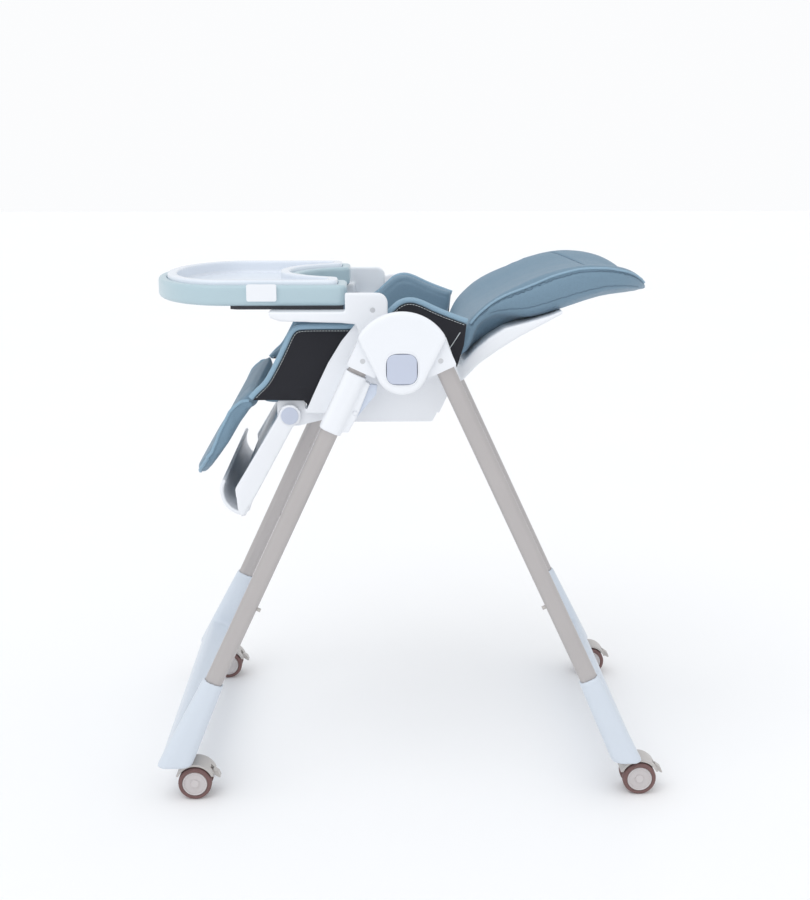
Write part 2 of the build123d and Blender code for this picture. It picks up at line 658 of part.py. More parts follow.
def backrest_pad():
    """The cushion on the backrest, with a raised bolster down each side and a round head."""
    half = BACKREST_WIDTH / 2
    body = slab(profile(BACK_TOP + BACK_UNDER), -half, half)
    for side in SIDES.values():
        body += side_slab(profile(BOLSTER_TOP + BOLSTER_UNDER), side, half - BOLSTER_WIDTH, half)
    head = Pos(0, 100) * RectangleRounded(2 * half, 610, 110)
    plan = Plane((0, 0, HUB_Z - 60)) * head
    return body & extrude(plan, amount=260)


SHELL_BACK = [
    (52, -26), (44, -8), (52, 10), (70, 12), (93, -17), (118, 9), (140, 27), (165, 43),
    (204, 53), (240, 64), (256, 71), (256, 65), (228, 50), (189, 29), (157, 9), (126, -13),
    (99, -41), (72, -36),
]


def backrest_shell():
    """The moulded shell behind the backrest cushion, with its two hinge pins."""
    half = BACKREST_WIDTH / 2 - 2
    body = slab(profile(SHELL_BACK), -half, half)
    for side in SIDES.values():
        ear = Pos(*RECLINE_AXIS) * Circle(HINGE_EAR)
        body += side_slab(ear, side, half - 10, SEAT_WIDTH / 2 - MOVING_GAP)
        pin_end = side * (SHELL_OUTER - 0.4)
        body += rod(*RECLINE_AXIS, RECLINE_PIN_RADIUS, side * (SEAT_WIDTH / 2 - 4), pin_end)
    room = [(176, -8), (216, 18), (224, 56), (204, 47.5), (184, 37), (176, 29)]
    return body - slab(profile(room), -LEVER_HALF - MOVING_GAP, LEVER_HALF + MOVING_GAP)


def recline_lever():
    """The squeeze handle in the back of the shell."""
    outline = [(180, 26), (186, 34), (206, 43.5), (218, 41.5), (214, 36), (196, 29)]
    return slab(profile(outline, 1.5), -LEVER_HALF, LEVER_HALF)


def strap_knobs():
    """Round knobs behind the shell, where shoulder straps could be hooked."""
    group = Part()
    for side in SIDES.values():
        group += rod(242, 56, 6, side * 92, side * 106) - slab(profile(SHELL_BACK), -200, 200)
    return group


# ---------------------------------------------------------------- harness

def crotch_strap():
    z = SEAT_PAD_TOP + SOFT_GAP
    outline = [(-120, z), (-48, z), (-48, z + STRAP_THICKNESS), (-120, z + STRAP_THICKNESS)]
    return slab(profile(outline), -STRAP_WIDTH / 2, STRAP_WIDTH / 2)


def waist_straps():
    group = Part()
    z = SEAT_PAD_TOP + SOFT_GAP
    front, back, top = -34, -34 + STRAP_WIDTH, z + STRAP_THICKNESS
    outline = [(front, z), (back, z), (back, top), (front, top)]
    for side in SIDES.values():
        group += side_slab(profile(outline), side, 24, SEAT_HALF - 2)
    return group


def buckle():
    z = SEAT_PAD_TOP + SOFT_GAP
    outline = [(-47, z), (-3, z), (-3, z + 12), (-47, z + 12)]
    return slab(profile(outline, 4.0, [(-47, z + 12), (-3, z + 12)]), -23, 23)


# ---------------------------------------------------------------- tray

def tray_outline(inset=0.0):
    """Straight sides, a half-oval front and a round cut-out for the child's belly."""
    half = TRAY_WIDTH / 2 - inset
    straight = TRAY_DEPTH * 0.6
    rear = TRAY_REAR - inset
    front = TRAY_DEPTH - straight - inset
    middle = TRAY_REAR - straight / 2
    face = Pos(0, middle - inset / 2) * Rectangle(2 * half, straight - inset)
    face += Pos(0, TRAY_REAR - straight) * Ellipse(half, front)
    belly = Pos(0, TRAY_REAR + BELLY_CENTRE) * Circle(BELLY_RADIUS + inset)
    face -= belly
    prongs = [v for v in face.vertices() if v.Y > rear - 1]
    return fillet(prongs, 12.0)


def tray_level(height):
    return Plane((0, 0, HUB_Z + height))


def tray_base():
    """The coloured lower tray, with a pocket for the insert."""
    body = extrude(tray_level(TRAY_BOTTOM) * tray_outline(), amount=TRAY_THICKNESS)
    body = fillet(body.faces().sort_by(Axis.Z)[0].edges(), 7.0)
    body = fillet(body.faces().sort_by(Axis.Z)[-1].edges(), 5.0)
    floor = tray_level(TRAY_BOTTOM + TRAY_FLOOR)
    pocket = extrude(floor * tray_outline(INSERT_INSET), amount=TRAY_THICKNESS)
    return body - pocket


def tray_insert():
    """The white lift-off top with a shallow dish."""
    gap = INSERT_INSET + INSERT_GAP
    low = TRAY_BOTTOM + TRAY_FLOOR + SOFT_GAP
    body = extrude(tray_level(low) * tray_outline(gap), amount=TRAY_THICKNESS - 4)
    body = fillet(body.faces().sort_by(Axis.Z)[-1].edges(), 3.0)
    dish = extrude(tray_level(low + 8) * tray_outline(gap + DISH_RIM), amount=TRAY_THICKNESS)
    return body - dish


def tray_clip(side):
    """Snaps over the rim and holds the insert."""
    top = TRAY_BOTTOM + TRAY_THICKNESS + 2
    near = TRAY_WIDTH / 2 + SOFT_GAP
    half = CLIP_LENGTH / 2
    body = side_slab(
        profile([(CLIP_MIDDLE - half, top - CLIP_HEIGHT), (CLIP_MIDDLE + half, top - CLIP_HEIGHT),
                 (CLIP_MIDDLE + half, top), (CLIP_MIDDLE - half, top)], 3.0),
        side, near, near + CLIP_THICKNESS)
    return body


def tray_rails():
    """Dark runners under the tray that slide on the arms."""
    group = Part()
    for side in SIDES.values():
        outline = [(-262, 77), (-252, RAIL_TOP + SOFT_GAP), (-88, RAIL_TOP + SOFT_GAP),
                   (-88, TRAY_BOTTOM + 0.2), (-262, TRAY_BOTTOM + 0.2)]
        outer = TRAY_WIDTH / 2 - RUNNER_IN
        group += side_slab(profile(outline), side, outer - RUNNER_WIDTH, outer)
    return group - tray_base()


# ---------------------------------------------------------------- the pieces
def pair(make):
    """The left and right copies of a piece, in one node."""
    group = Part()
    for side in SIDES.values():
        group += make(side)
    return group


for end, word in ((FRONT, "front"), (REAR, "rear")):
    parts[f"{word}_foot_bar"] = foot_bar(end)
    parts[f"{word}_hub_screws"] = screws(end)
    parts[f"{word}_stop_pegs"] = stop_pegs(end)
    for name, side in SIDES.items():
        parts[f"{word}_tube_{name}"] = leg_tube(end, side)
        parts[f"{word}_hub_{name}"] = hub_socket(end, side)
        parts[f"castor_body_{word}_{name}"] = castor_body(end, side)
        parts[f"castor_wheels_{word}_{name}"] = castor_wheels(end, side)
        parts[f"castor_tyres_{word}_{name}"] = castor_tyres(end, side)
        parts[f"castor_brake_{word}_{name}"] = castor_brake(end, side)
for name, side in SIDES.items():
    parts[f"fold_button_{name}"] = fold_button(side)
    parts[f"release_trigger_{name}"] = release_trigger(side)
    parts[f"tray_clip_{name}"] = tray_clip(side)
parts["hub_domes"] = pair(hub_dome)
parts["sliders"] = pair(slider)
parts["trigger_pins"] = trigger_pins()
parts["seat_shell"] = seat_shell()
parts["base_cover"] = base_cover()
parts["tray_arms"] = pair(tray_arm)
parts["arm_screws"] = arm_screws()
parts["footrest_brackets"] = pair(footrest_bracket)
parts["seat_pad"] = seat_pad()
parts["side_wings"] = pair(side_wing)
parts["side_panels"] = pair(side_panel)
parts["calf_pad"] = calf_pad()
parts["footrest"] = footrest()
parts["footrest_caps"] = footrest_caps()
parts["backrest_pad"] = backrest_pad()
parts["backrest_shell"] = backrest_shell()
parts["recline_lever"] = recline_lever()
parts["strap_knobs"] = strap_knobs()
parts["lap_straps"] = crotch_strap() + waist_straps()
parts["buckle"] = buckle()
parts["tray_base"] = tray_base()
parts["tray_insert"] = tray_insert()
parts["tray_rails"] = tray_rails()

# ---------------------------------------------------------------- written out
boxes = [piece.bounding_box() for piece in parts.values()]
middle_y = (min(b.min.Y for b in boxes) + max(b.max.Y for b in boxes)) / 2
lowest = min(b.min.Z for b in boxes)
os.makedirs("parts", exist_ok=True)
for name, piece in parts.items():
    export_step(Pos(0, -middle_y, -lowest) * piece, f"parts/{name}.step")
print(len(parts), "pieces; the fold axis is at y", round(-middle_y, 3), "z", HUB_Z - lowest)
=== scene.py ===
# %% [markdown]
# # A folding high chair
# The chair stands on two pairs of oval legs that fold about one axis, the centre of each big
# white hub.  The CAD frame already has every hard part at its true size.  This lesson adds
# what CAD is poor at: padded leather, cloth, piping and stitches, soft moulded plastic, and a
# material for every surface.

# %% Load the frame
import json
import math

import bmesh
import bpy
import mathutils.kdtree
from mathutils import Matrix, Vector
from mathutils.bvhtree import BVHTree


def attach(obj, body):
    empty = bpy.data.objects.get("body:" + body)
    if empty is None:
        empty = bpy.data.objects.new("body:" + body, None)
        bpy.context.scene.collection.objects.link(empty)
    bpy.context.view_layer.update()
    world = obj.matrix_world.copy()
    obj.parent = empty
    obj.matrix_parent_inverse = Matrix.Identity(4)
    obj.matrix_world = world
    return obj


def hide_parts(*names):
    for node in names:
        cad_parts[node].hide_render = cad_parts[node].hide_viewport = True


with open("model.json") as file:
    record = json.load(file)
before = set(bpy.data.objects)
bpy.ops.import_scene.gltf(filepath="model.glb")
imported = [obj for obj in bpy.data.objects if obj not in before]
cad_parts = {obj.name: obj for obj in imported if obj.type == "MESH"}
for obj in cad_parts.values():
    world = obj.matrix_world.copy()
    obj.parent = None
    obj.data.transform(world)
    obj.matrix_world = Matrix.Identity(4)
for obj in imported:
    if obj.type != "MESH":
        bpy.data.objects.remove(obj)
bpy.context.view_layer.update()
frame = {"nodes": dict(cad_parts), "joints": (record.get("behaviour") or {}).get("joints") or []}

JOINTS = {joint["name"]: joint for joint in frame["joints"]}
HUB = Vector(JOINTS["leg_fold"]["pos_m"])
MM = 0.001
print("pieces in the frame:", len(frame["nodes"]))

# %% [markdown]
# Places are easiest to read as millimetres from the fold axis: y towards the back, z up.
# `at` turns such a place into metres in the chair's own frame.

# %% Places
LEFT, RIGHT = 1, -1
SIDES = {"left": LEFT, "right": RIGHT}


def at(x, y, z):
    return Vector((x * MM, HUB.y + y * MM, HUB.z + z * MM))


print("the fold axis is", round(HUB.z / MM), "mm above the floor")

# %% [markdown]
# Operators act on whatever is selected, and the loaded frame comes in selected.  So each step
# starts by letting go of everything, then picks the one piece that it works on.

# %% Small modelling helpers
def lone(piece=None):
    """Selects nothing, or only this piece."""
    bpy.ops.object.select_all(action="DESELECT")
    if piece is not None:
        piece.select_set(True)
        bpy.context.view_layer.objects.active = piece


def edit(piece):
    lone(piece)
    bpy.ops.object.mode_set(mode="EDIT")
    bpy.ops.mesh.select_all(action="SELECT")


def done():
    bpy.ops.object.mode_set(mode="OBJECT")


def apply(piece, kind, **settings):
    """Adds a modifier, sets it up and applies it."""
    lone(piece)
    modifier = piece.modifiers.new(kind.title(), kind)
    for key, value in settings.items():
        setattr(modifier, key, value)
    bpy.ops.object.modifier_apply(modifier=modifier.name)


print("frame pieces with a mesh:", sum(node.type == "MESH" for node in frame["nodes"].values()))

# %% [markdown]
# A new primitive carries its place as a location and may hold points that lie on each other.
# `settle` puts all that into the mesh.  `soften` shades a piece smooth except at its sharp
# edges, so that a bevel catches a clean line of light.

# %% Settling and shading
MERGE = 0.00002


def settle(piece):
    """Moves a piece's place into its mesh, and points its faces outwards."""
    lone(piece)
    bpy.ops.object.transform_apply(location=True, rotation=True, scale=True)
    edit(piece)
    bpy.ops.mesh.remove_doubles(threshold=MERGE)
    bpy.ops.mesh.normals_make_consistent(inside=False)
    done()


def soften(piece, degrees=40):
    lone(piece)
    bpy.ops.object.shade_smooth_by_angle(angle=math.radians(degrees))


# %% [markdown]
# A sewn edge never has corners.  `flow` runs a smooth line through a few chosen points (a
# Catmull-Rom spline), which is easier to adjust than a line of many points.

# %% Smooth lines
def flow(points, steps, closed=False):
    """A smooth line through points, a few steps to each span."""
    count = len(points)
    line = []
    spans = count if closed else count - 1
    for i in range(spans):
        if closed:
            a, b, c, d = (points[(i + k) % count] for k in (-1, 0, 1, 2))
        else:
            a, b, c, d = (points[min(max(i + k, 0), count - 1)] for k in (-1, 0, 1, 2))
        for s in range(steps):
            t = s / steps
            line.append(0.5 * (2 * b + (c - a) * t + (2 * a - 5 * b + 4 * c - d) * t * t
                               + (3 * b - a - 3 * c + d) * t ** 3))
    if not closed:
        line.append(points[-1].copy())
    return line


print("steps in a test line:", len(flow([at(0, 0, 0), at(0, 10, 0), at(0, 20, 5)], 4)))

# %% [markdown]
# Three ways to make a shape.  A plate is a flat outline pulled out sideways.  A skin is a
# sheet of squares bent round a row of rings.  A tube is a skin whose rings are circles.  They
# start from Blender's own circle and grid, so that each face is well formed.

# %% Plates and skins
def plate(name, outline, near, far):
    """A flat piece: a filled ring pushed into an outline of (y, z) points, then pulled out."""
    lone()
    bpy.ops.mesh.primitive_circle_add(vertices=len(outline), radius=1, fill_type="NGON")
    piece = bpy.context.object
    piece.name = name
    for vertex, (y, z) in zip(piece.data.vertices, outline):
        vertex.co = at(near, y, z)
    edit(piece)
    bpy.ops.mesh.extrude_region_move(
        TRANSFORM_OT_translate={"value": ((far - near) * MM, 0, 0)})
    done()
    settle(piece)
    return piece


def skin(name, rings, closed=True):
    """A sheet of squares bent round a row of rings, its seam merged and its ends filled."""
    around, along = len(rings[0]), len(rings) - 1
    lone()
    bpy.ops.mesh.primitive_grid_add(x_subdivisions=around, y_subdivisions=along, size=2)
    piece = bpy.context.object
    piece.name = name
    for vertex in piece.data.vertices:
        i = round((vertex.co.x + 1) / 2 * around) % around
        j = round((vertex.co.y + 1) / 2 * along)
        vertex.co = rings[j][i]
    edit(piece)
    bpy.ops.mesh.remove_doubles(threshold=MERGE)
    if closed:
        bpy.ops.mesh.select_all(action="DESELECT")
        bpy.ops.mesh.select_non_manifold()
        bpy.ops.mesh.fill_holes(sides=0)
        bpy.ops.mesh.select_all(action="SELECT")
    bpy.ops.mesh.normals_make_consistent(inside=False)
    done()
    return piece


# %% Tubes
def tube(name, points, radius, around=8, closed=False):
    """A round bar along points, by turning a ring to face along the line at each one."""
    rings = []
    count = len(points)
    side = None
    for i, point in enumerate(points):
        ahead = points[(i + 1) % count] if closed or i + 1 < count else point
        behind = points[i - 1] if closed or i else point
        way = (ahead - behind).normalized()
        if side is None:
            side = way.orthogonal().normalized()
        side = (side - way * side.dot(way)).normalized()
        other = way.cross(side)
        rings.append([point + (side * math.cos(a) + other * math.sin(a)) * radius * MM
                      for a in (2 * math.pi * k / around for k in range(around))])
    if closed:
        rings.append(rings[0])
        piece = skin(name, rings, closed=False)
    else:
        piece = skin(name, rings)
    soften(piece, 60)
    return piece


# %% [markdown]
# ## Shader maths in plain expressions
# A procedural material is a sum: a base colour, plus a little noise, plus grain in the bump.
# The class below wraps a node's socket so that such a sum can be written as Python.

# %% A class for shader expressions
class Paint:
    """A material being mixed.  `node` adds any node; values are wrapped as Value."""

    def __init__(self, name):
        self.material = bpy.data.materials.new(name)
        self.material.use_nodes = True
        self.tree = self.material.node_tree
        self.surface = self.tree.nodes["Principled BSDF"]

    def node(self, kind, settings=None, out=0, **inputs):
        made = self.tree.nodes.new("ShaderNode" + kind)
        for key, value in (settings or {}).items():
            setattr(made, key, value)
        for key, value in inputs.items():
            index = int(key[1:]) if key[0] == "i" and key[1:].isdigit() else key.replace("_", " ")
            self.join(value, made.inputs[index])
        return Value(self, made.outputs[out])

    def join(self, value, socket):
        if isinstance(value, Value):
            self.tree.links.new(value.socket, socket)
        else:
            socket.default_value = value

    def place(self):
        """Object coordinates, in metres."""
        return self.node("TexCoord", out="Object")

    def noise(self, scale, detail=3.0, roughness=0.5):
        return self.node("TexNoise", Vector=self.place(), Scale=scale, Detail=detail,
                         Roughness=roughness)

    def blend(self, share, first, second):
        return self.node("Mix", {"data_type": "RGBA"}, out=2, i0=share, i6=first, i7=second)

    def bump(self, height, strength, distance):
        return self.node("Bump", Height=height, Strength=strength, Distance=distance)

    def finish(self, **sockets):
        for key, value in sockets.items():
            self.join(value, self.surface.inputs[key.replace("_", " ")])
        return self.material


class Value:
    """A socket that can be added, subtracted and multiplied in an expression."""

    def __init__(self, paint, socket):
        self.paint = paint
        self.socket = socket

    def maths(self, operation, first, second):
        return self.paint.node("Math", {"operation": operation}, i0=first, i1=second)

    def __add__(self, other):
        return self.maths("ADD", self, other)

    def __radd__(self, other):
        return self.maths("ADD", other, self)

    def __rsub__(self, other):
        return self.maths("SUBTRACT", other, self)

    def __rmul__(self, other):
        return self.maths("MULTIPLY", other, self)


def shade(colour, factor):
    """A colour, lighter or darker, with its alpha."""
    return (*(min(channel * factor, 1.0) for channel in colour), 1.0)


print("a darker grey:", shade((0.5, 0.5, 0.5), 0.8))

# %% [markdown]
# ## Moulded plastic
# Injection-moulded plastic is never quite even: the colour drifts a little, the gloss is
# broken by a fine spark-eroded texture, and the roughness drifts a little in small patches.
# One function makes every plastic on the chair, so they look like a family.

# %% Plastics
def moulded(name, colour, roughness=0.38, coat=0.15, grain=0.06):
    paint = Paint(name)
    drift = paint.noise(9.0, 2.0)
    fine = paint.noise(1400.0, 2.0)
    scuff = paint.noise(60.0, 6.0, roughness=0.7)
    base = paint.blend(drift, shade(colour, 0.985), shade(colour, 1.015))
    rough = roughness - 0.03 + 0.05 * drift + 0.04 * scuff
    return paint.finish(
        Base_Color=base, Roughness=rough, Coat_Weight=coat, Coat_Roughness=0.25,
        Normal=paint.bump(fine, grain, 0.0003), IOR=1.46,
    )


white_plastic = moulded("white moulded plastic", (0.83, 0.85, 0.885))
foot_plastic = moulded("cool white foot plastic", (0.62, 0.675, 0.745), 0.42)
insert_plastic = moulded("glossy tray top", (0.74, 0.79, 0.86), 0.24, 0.4)
teal_plastic = moulded("pale teal tray rim", (0.435, 0.565, 0.62), 0.34, 0.3)
button_plastic = moulded("lavender grey button", (0.53, 0.575, 0.69), 0.45)
trigger_plastic = moulded("pale blue grey lever", (0.60, 0.66, 0.77), 0.42)
castor_plastic = moulded("warm grey castor plastic", (0.50, 0.475, 0.455), 0.40)
disc_plastic = moulded("light grey wheel disc", (0.58, 0.545, 0.545), 0.36)
black_plastic = moulded("dark runner plastic", (0.022, 0.023, 0.032), 0.42)
print("plastics made:", len(bpy.data.materials))

# %% [markdown]
# ## Tyres, painted tubes and screws
# The tyres are soft brown rubber with a dusty bloom.  The tubes are steel under a champagne
# metallic paint: metal flakes under a coat, with a faint drift of colour.

# %% Rubber, paint and steel
def rubber(name, colour):
    paint = Paint(name)
    dust = paint.noise(220.0, 5.0)
    base = paint.blend(dust, shade(colour, 0.8), shade(colour, 1.35))
    return paint.finish(Base_Color=base, Roughness=0.55 + 0.2 * dust,
                        Normal=paint.bump(dust, 0.25, 0.0005))


def tube_paint(name, colour):
    paint = Paint(name)
    flakes = paint.node("TexVoronoi", Vector=paint.place(), Scale=2600.0, out=0)
    drift = paint.noise(14.0, 2.0)
    base = paint.blend(0.35 * flakes + 0.4 * drift, shade(colour, 0.93), shade(colour, 1.1))
    return paint.finish(Base_Color=base, Metallic=0.45, Roughness=0.36 + 0.1 * drift,
                        Coat_Weight=0.25, Coat_Roughness=0.3,
                        Normal=paint.bump(flakes, 0.08, 0.0002))


def plated(name):
    paint = Paint(name)
    wear = paint.noise(400.0, 4.0)
    return paint.finish(Base_Color=(0.62, 0.63, 0.65, 1.0), Metallic=1.0,
                        Roughness=0.22 + 0.2 * wear, Normal=paint.bump(wear, 0.1, 0.0003))


tyre_rubber = rubber("brown tyre rubber", (0.155, 0.085, 0.08))
champagne = tube_paint("champagne tube paint", (0.47, 0.445, 0.44))
screw_steel = plated("plated screw")
print("with rubber, paint and steel:", len(bpy.data.materials))

# %% [markdown]
# ## Leather, cloth and webbing
# The cushions are coated leather: a pebbled grain of small cells with pores between, softer
# gloss on the high spots, and a slow drift of colour.  The outside of the seat is a plain
# woven black cloth, and the straps are ribbed webbing.

# %% Leather and cloth
def leather(name, colour, grain=0.35):
    paint = Paint(name)
    cells = paint.node("TexVoronoi", {"feature": "DISTANCE_TO_EDGE"}, Vector=paint.place(),
                       Scale=520.0)
    folds = paint.noise(38.0, 5.0, roughness=0.6)
    drift = paint.noise(5.0, 2.0)
    pebbles = paint.node("MapRange", Value=cells, From_Min=0.0, From_Max=0.25)
    base = paint.blend(0.55 * drift + 0.25 * folds, shade(colour, 0.92), shade(colour, 1.12))
    base = paint.blend(pebbles, shade(colour, 0.86), base)
    height = 0.7 * pebbles + 0.5 * folds
    return paint.finish(
        Base_Color=base, Roughness=0.58 - 0.12 * pebbles + 0.08 * folds,
        Normal=paint.bump(height, grain, 0.0007), Sheen_Weight=0.12, Sheen_Roughness=0.5,
    )


def cloth(name, colour, across=900.0, depth=0.5, sheen=0.25):
    paint = Paint(name)
    where = paint.place()
    warp = paint.node("TexWave", {"bands_direction": "Y"}, Vector=where, Scale=across)
    weft = paint.node("TexWave", {"bands_direction": "Z"}, Vector=where, Scale=across)
    fuzz = paint.noise(700.0, 4.0)
    weave = 0.5 * warp + 0.5 * weft
    base = paint.blend(weave, shade(colour, 0.7), shade(colour, 1.5))
    return paint.finish(Base_Color=base, Roughness=0.82 + 0.1 * fuzz, Sheen_Weight=sheen,
                        Sheen_Roughness=0.45,
                        Normal=paint.bump(weave + 0.4 * fuzz, depth, 0.0006))


blue_leather = leather("dusty blue leather", (0.172, 0.278, 0.372))
piping_leather = leather("light blue piping", (0.27, 0.42, 0.54), 0.2)
# A darker leather for the thin tubes laid in the seam grooves: it is painted shade in those
# grooves.
painted_seam_shade = leather("painted seam shade leather", (0.115, 0.19, 0.265), 0.2)
black_cloth = cloth("black side cloth", (0.012, 0.0125, 0.018), sheen=0.08)
webbing = cloth("grey blue webbing", (0.16, 0.21, 0.26), 700.0, 0.8)
thread = cloth("pale thread", (0.62, 0.68, 0.72), 1500.0, 0.4)
print("with leather, cloth and thread:", len(bpy.data.materials))

# %% [markdown]
# The frame's own pieces keep their meshes and only change their material.  It waits until the
# end, when the pieces that are replaced are known.

# %% Painting the frame
def paint_all(names, material):
    """Puts one material on each named piece of the frame."""
    for name in names:
        node = frame["nodes"][name]
        node.data.materials.clear()
        node.data.materials.append(material)


# %% [markdown]
# ## Camera, floor and light
# The camera stands a little over two metres off, 0.32 m above the fold axis, and looks across
# the chair and a little down.  From there the far legs show beside the near ones.

# %% Camera
CAMERA_OFFSET = Vector((2.197, -0.041, 0.318))
PITCH, YAW = 0.2280, -0.0240
LENS, SENSOR = 51.95, 36.0

bpy.ops.object.camera_add(location=HUB + CAMERA_OFFSET)
camera = bpy.context.object
camera.name = "camera"
look = Vector((-math.cos(PITCH) * math.cos(YAW), -math.cos(PITCH) * math.sin(YAW),
               -math.sin(PITCH)))
camera.rotation_euler = look.to_track_quat("-Z", "Y").to_euler()
camera.data.lens = LENS
camera.data.sensor_width = SENSOR
bpy.context.scene.camera = camera
print("camera to fold axis, m:", round(CAMERA_OFFSET.length, 3))

# %% [markdown]
# The floor is a plain pale sheet, so wide that its edge is lost in the background.  Its colour
# drifts very slightly, as paper does.

# %% Floor
FLOOR_SIZE = 40
lone()
bpy.ops.mesh.primitive_plane_add(size=FLOOR_SIZE, location=(0, 0, 0))
floor = bpy.context.object
floor.name = "floor"
floor_paint = Paint("pale floor")
paper = floor_paint.blend(floor_paint.noise(2.0), (0.93, 0.93, 0.935, 1), (0.95, 0.95, 0.955, 1))
floor.data.materials.append(floor_paint.finish(Base_Color=paper, Roughness=0.6))
print("floor:", FLOOR_SIZE, "m across")

# %% [markdown]
# The light is a pale studio.  The world is a soft glow from everywhere, so that white plastic
# keeps its pale shadows; the camera itself sees a slightly brighter wall.  Mixing by the light
# path's camera ray keeps the two apart.  The standard view transform keeps pale colours as
# mixed.

# %% Studio glow
SEEN_COLOUR, SEEN_STRENGTH = (0.97, 0.975, 0.985, 1), 1.0
GLOW_COLOUR, GLOW_STRENGTH = (0.965, 0.98, 1.0, 1), 0.92
bpy.context.scene.view_settings.view_transform = "Standard"
world = bpy.data.worlds.new("studio")
bpy.context.scene.world = world
world.use_nodes = True
sky = world.node_tree
seen = sky.nodes["Background"]
seen.inputs[0].default_value = SEEN_COLOUR
seen.inputs[1].default_value = SEEN_STRENGTH
glow = sky.nodes.new("ShaderNodeBackground")
glow.inputs[0].default_value = GLOW_COLOUR
glow.inputs[1].default_value = GLOW_STRENGTH
path = sky.nodes.new("ShaderNodeLightPath")
either = sky.nodes.new("ShaderNodeMixShader")
sky.links.new(path.outputs["Is Camera Ray"], either.inputs[0])
sky.links.new(glow.outputs[0], either.inputs[1])
sky.links.new(seen.outputs[0], either.inputs[2])
sky.links.new(either.outputs[0], sky.nodes["World Output"].inputs[0])
print("world nodes:", len(sky.nodes))


# %% [markdown]
# Two lamps shape the forms: a wide key from above, and a weaker one from the camera's side.
# A sun lamp's spread angle is what makes its shadow soft.

# %% Lamps
def sun(name, direction, strength, spread):
    """A distant lamp shining along a direction, soft by its spread in degrees."""
    bpy.ops.object.light_add(type="SUN", location=(0, 0, 3))
    lamp = bpy.context.object
    lamp.name = name
    lamp.data.energy = strength
    lamp.data.angle = math.radians(spread)
    lamp.rotation_euler = Vector(direction).to_track_quat("-Z", "Y").to_euler()


sun("key", (-0.45, 0.40, -1.0), 0.62, 50)
sun("side", (-1.0, 0.15, -0.35), 0.22, 60)

# %% [markdown]
# ## Soft cushions
# Foam in a sewn cover bulges between its seams.  A closed shape is rebuilt as an even net of
# small squares, blown up gently as cloth, and held to a few millimetres so that it keeps its
# place in the chair.

# %% Swelling
CLOTH_FRAMES = 16
PRESSURE = 4.0
SWELL_CAP = 3.0


def swell(piece, voxel, smooth):
    """Blows up a closed shape like foam under leather, a few millimetres at most."""
    apply(piece, "REMESH", mode="VOXEL", voxel_size=voxel * MM)
    before = [vertex.co.copy() for vertex in piece.data.vertices]
    modifier = piece.modifiers.new("Cloth", "CLOTH")
    settings = modifier.settings
    settings.use_pressure = True
    settings.uniform_pressure_force = PRESSURE
    settings.effector_weights.gravity = 0.0
    modifier.point_cache.frame_end = CLOTH_FRAMES
    scene = bpy.context.scene
    for number in range(1, CLOTH_FRAMES + 1):
        scene.frame_set(number)
    puffed = piece.evaluated_get(bpy.context.evaluated_depsgraph_get()).data
    after = [vertex.co.copy() for vertex in puffed.vertices]
    piece.modifiers.remove(modifier)
    scene.frame_set(1)
    for vertex, old, new in zip(piece.data.vertices, before, after):
        move = new - old
        if move.length > SWELL_CAP * MM:
            move = move.normalized() * SWELL_CAP * MM
        vertex.co = old + move
    apply(piece, "SMOOTH", factor=0.6, iterations=smooth)
    apply(piece, "SUBSURF", levels=1, render_levels=1)
    lone(piece)
    bpy.ops.object.shade_smooth()
    print(piece.name, "vertices:", len(piece.data.vertices))


# %% [markdown]
# Where a cushion is sewn, its skin is drawn in.  `crease` presses a groove along a line, and
# `on_surface` lays a line on the skin for piping or thread.  Both look up the nearest place
# on the mesh in a search tree, which is quick even on a fine net.

# %% Creases
def search_tree(piece):
    mesh = piece.data
    return BVHTree.FromPolygons([v.co for v in mesh.vertices], [p.vertices for p in mesh.polygons])


def crease(piece, line, depth, width):
    """Presses a groove into a cushion along a line on it."""
    mesh = piece.data
    tree = search_tree(piece)
    normals = [vertex.normal.copy() for vertex in mesh.vertices]
    on_skin = [tree.find_nearest(point)[0] for point in line]
    line_tree = mathutils.kdtree.KDTree(len(on_skin))
    for i, point in enumerate(on_skin):
        line_tree.insert(point, i)
    line_tree.balance()
    for vertex, normal in zip(mesh.vertices, normals):
        distance = line_tree.find(vertex.co)[2] / MM
        if distance < width:
            share = (1 - (distance / width) ** 2) ** 2
            vertex.co -= normal * depth * share * MM
    return on_skin


def on_surface(piece, line, lift):
    """The line laid on a piece's skin, lift millimetres proud of it."""
    tree = search_tree(piece)
    laid = []
    for point in line:
        place, normal, _, _ = tree.find_nearest(point)
        laid.append(place + normal * lift * MM)
    return laid


# %% [markdown]
# A row of stitches is one short thread, repeated at even steps.  Each stitch is a six-sided
# bar with thin ends, so it looks tucked into the cloth.

# %% Stitches
def evenly(line, gap):
    """Points every gap millimetres along a line."""
    points = [line[0].copy()]
    left = gap * MM
    for start, stop in zip(line, line[1:]):
        here = start.copy()
        while (stop - here).length > left:
            here = here + (stop - here).normalized() * left
            points.append(here.copy())
            left = gap * MM
        left -= (stop - here).length
    return points


STITCH_LENGTH, STITCH_GAP, STITCH_RADIUS = 3.2, 4.6, 0.45


